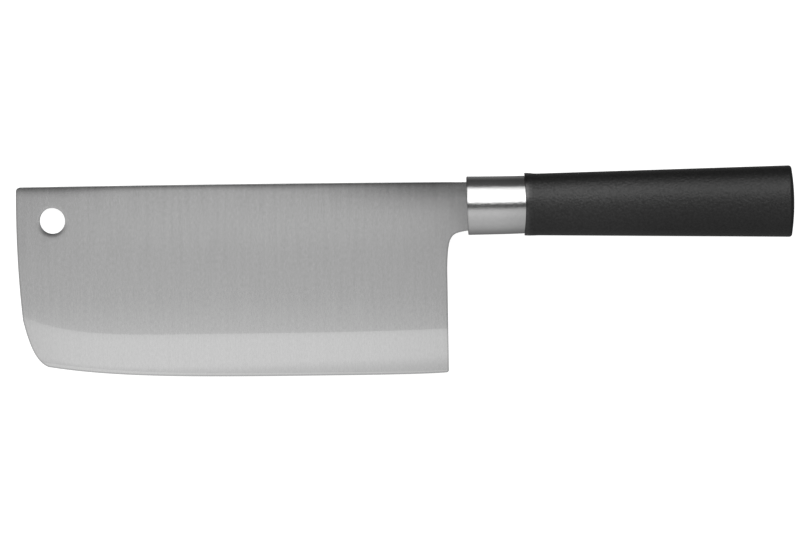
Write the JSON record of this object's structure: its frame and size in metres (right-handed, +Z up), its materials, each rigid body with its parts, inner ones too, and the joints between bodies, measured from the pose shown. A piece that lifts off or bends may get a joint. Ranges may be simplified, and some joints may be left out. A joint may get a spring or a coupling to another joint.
{
  "type": "kitchen cleaver",
  "caption": "Kitchen cleaver with a tall satin steel blade, ground bevel and hang hole, a steel ferrule and a black moulded handle, lying on its side.",
  "frame": {"origin": "centre of the knife's bounding box, on the table that it lies on", "axes": "+X from the blade's front end to the butt, +Y from the cutting edge to the spine, +Z up"},
  "size_m": [0.312, 0.0816, 0.0257],
  "materials": {
    "blade_steel": "satin, ground across the blade from spine to edge",
    "ferrule_steel": "fine polish",
    "grip_plastic": "fine moulded stipple",
    "bedding_resin": "cured adhesive"
  },
  "bodies": {
    "root": {"blade": "blade_steel", "ferrule": "ferrule_steel", "grip": "grip_plastic", "tang_bedding": "bedding_resin"}
  },
  "joints": []
}
